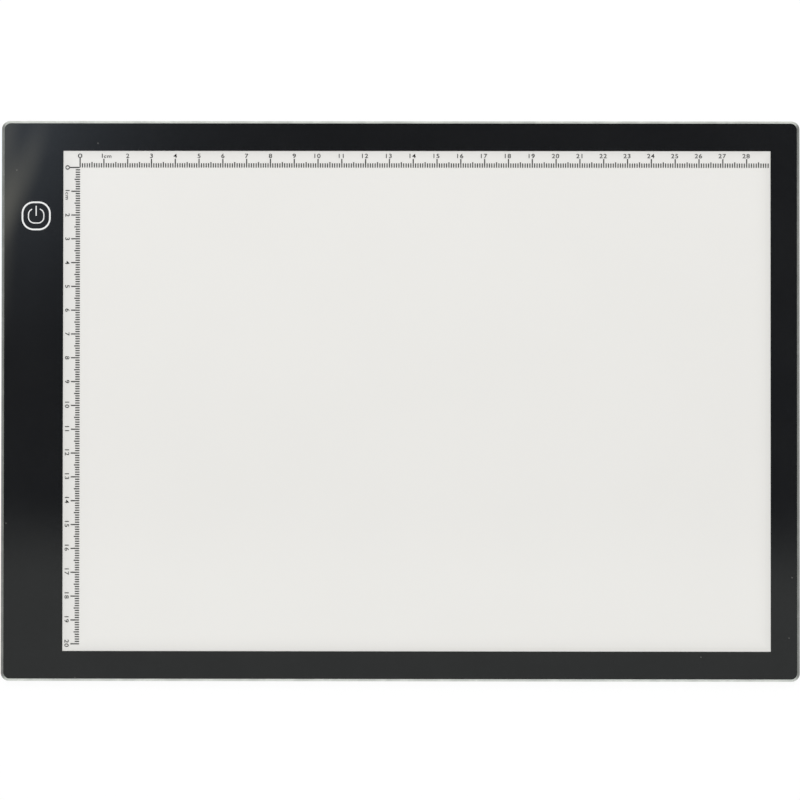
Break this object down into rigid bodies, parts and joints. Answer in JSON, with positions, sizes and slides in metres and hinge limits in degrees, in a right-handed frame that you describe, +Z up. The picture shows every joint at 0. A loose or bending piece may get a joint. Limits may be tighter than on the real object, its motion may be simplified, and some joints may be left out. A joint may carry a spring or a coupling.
{
  "type": "led tracing pad",
  "caption": "Slim A4 light pad for tracing: black glossy border round a white window with printed centimetre scales, a touch key in the wide left border, a USB socket and rubber feet.",
  "frame": {"origin": "middle of the pad's length and width, level with the undersides of its feet", "axes": "+X along the pad's long side, away from the touch key; +Y up the page that is drawn on; +Z up out of the drawing face"},
  "size_m": [0.3346, 0.2348, 0.006],
  "materials": {
    "clear_acrylic": "clear acrylic sheet, polished faces and edges",
    "black_print": "black screen print seen through clear acrylic, glossy",
    "white_diffuser": "white translucent diffuser sheet, matt",
    "silver_white": "white reflector sheet, satin",
    "white_plastic": "moulded white plastic, fine matt grain",
    "clear_rubber": "translucent grey rubber, matt",
    "green_board": "green circuit board",
    "white_board": "white circuit board with white LED packages",
    "adhesive_tape": "thin double sided tape",
    "dark_foam": "dark foam",
    "steel": "plated sheet steel",
    "gold_contact": "gold plated contact",
    "copper_foil": "copper foil",
    "black_resin": "black moulded resin, matt",
    "tan_ceramic": "tan ceramic",
    "red_sleeve": "red wire sleeve",
    "black_sleeve": "black wire sleeve"
  },
  "bodies": {
    "root": {"front_panel": "clear_acrylic", "mask_print": "black_print", "diffuser_sheet": "white_diffuser", "light_guide": "clear_acrylic", "reflector_sheet": "silver_white", "cushion_upper": "dark_foam", "cushion_lower": "dark_foam", "led_bar": "white_board", "bar_tape_lower": "adhesive_tape", "bar_tape_upper": "adhesive_tape", "light_seal": "adhesive_tape", "middle_frame": "white_plastic", "control_board": "green_board", "board_tape": "adhesive_tape", "usb_shell": "steel", "usb_insulator": "black_resin", "touch_electrode": "copper_foil", "contact_foam": "dark_foam", "touch_chip": "black_resin", "led_transistor": "black_resin", "lead_red": "red_sleeve", "lead_black": "black_sleeve", "back_cover": "white_plastic", "front_tape_top": "adhesive_tape", "front_tape_bottom": "adhesive_tape", "front_tape_right": "adhesive_tape", "front_tape_left_upper": "adhesive_tape", "front_tape_left_lower": "adhesive_tape", "back_tape_top": "adhesive_tape", "back_tape_bottom": "adhesive_tape", "back_tape_right": "adhesive_tape", "back_tape_left_upper": "adhesive_tape", "back_tape_left_lower": "adhesive_tape", "usb_contact_1": "gold_contact", "usb_contact_2": "gold_contact", "usb_contact_3": "gold_contact", "usb_contact_4": "gold_contact", "usb_contact_5": "gold_contact", "capacitor_1": "tan_ceramic", "capacitor_2": "tan_ceramic", "capacitor_3": "tan_ceramic", "resistor_1": "black_resin", "resistor_2": "black_resin", "resistor_3": "black_resin", "resistor_4": "black_resin", "foot_upper_left": "clear_rubber", "foot_upper_right": "clear_rubber", "foot_lower_left": "clear_rubber", "foot_lower_right": "clear_rubber"}
  },
  "joints": []
}
